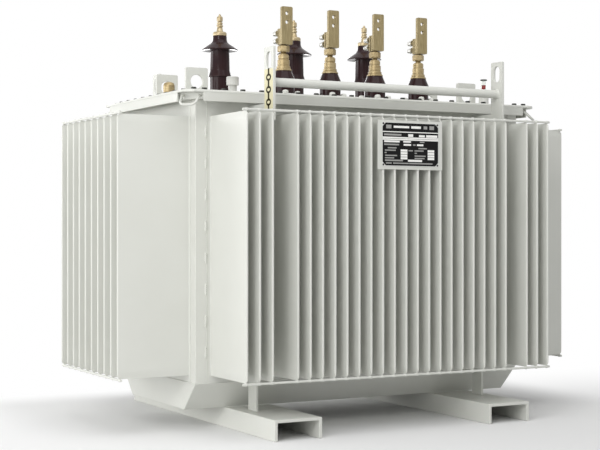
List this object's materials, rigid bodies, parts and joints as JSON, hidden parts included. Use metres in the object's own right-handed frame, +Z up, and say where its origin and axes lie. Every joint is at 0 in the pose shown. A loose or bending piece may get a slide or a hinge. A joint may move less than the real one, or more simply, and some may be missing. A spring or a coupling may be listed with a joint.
{
  "type": "oil-filled power transformer with a corrugated tank",
  "caption": "Fixed oil-filled transformer: corrugated fin tank on two skids, bolted tray lid with porcelain bushings, brass terminals, lifting posts and a blank rating plate.",
  "frame": {"origin": "on the ground under the centre of the tank", "axes": "+X along the tank's long side, -Y towards the low-voltage side with the rating plate, +Z up"},
  "size_m": [1.79, 1.18, 1.453],
  "materials": {
    "grey_paint": "light warm grey satin paint",
    "brown_porcelain": "dark brown glaze, glossy",
    "brass": "cast and turned, satin",
    "white_paint": "white satin paint",
    "white_plastic": "white moulded plastic",
    "dark_plastic": "black moulded plastic",
    "plate_face": null
  },
  "bodies": {
    "root": {"skid_left": "grey_paint", "skid_right": "grey_paint", "tank_bottom": "grey_paint", "tank_corners": "grey_paint", "front_fin_wall": "grey_paint", "back_fin_wall": "grey_paint", "left_fin_wall": "grey_paint", "right_fin_wall": "grey_paint", "top_tie_rods": "grey_paint", "bottom_tie_rods": "grey_paint", "tank_flange": "grey_paint", "lid": "grey_paint", "lid_skirts": "grey_paint", "corner_loops": "grey_paint", "post_legs": "grey_paint", "front_left_lifting_post": "grey_paint", "front_right_lifting_post": "grey_paint", "back_left_lifting_post": "grey_paint", "back_right_lifting_post": "grey_paint", "rails": "grey_paint", "lid_lugs": "grey_paint", "plate_bracket": "grey_paint", "hv_porcelain_1": "brown_porcelain", "hv_porcelain_2": "brown_porcelain", "hv_porcelain_3": "brown_porcelain", "lv_porcelain_1": "brown_porcelain", "lv_porcelain_2": "brown_porcelain", "lv_porcelain_3": "brown_porcelain", "lv_porcelain_4": "brown_porcelain", "hv_terminal_1": "brass", "hv_terminal_2": "brass", "hv_terminal_3": "brass", "lv_stem_1": "brass", "lv_stem_2": "brass", "lv_stem_3": "brass", "lv_stem_4": "brass", "lv_flag_1": "brass", "lv_flag_2": "brass", "lv_flag_3": "brass", "lv_flag_4": "brass", "relief_valve": "brass", "hv_clamp_rings": "white_paint", "lv_clamp_rings": "white_paint", "filler": "white_plastic", "gauge_body": "white_plastic", "gauge_cap": "dark_plastic", "rating_plate": "plate_face"}
  },
  "joints": []
}
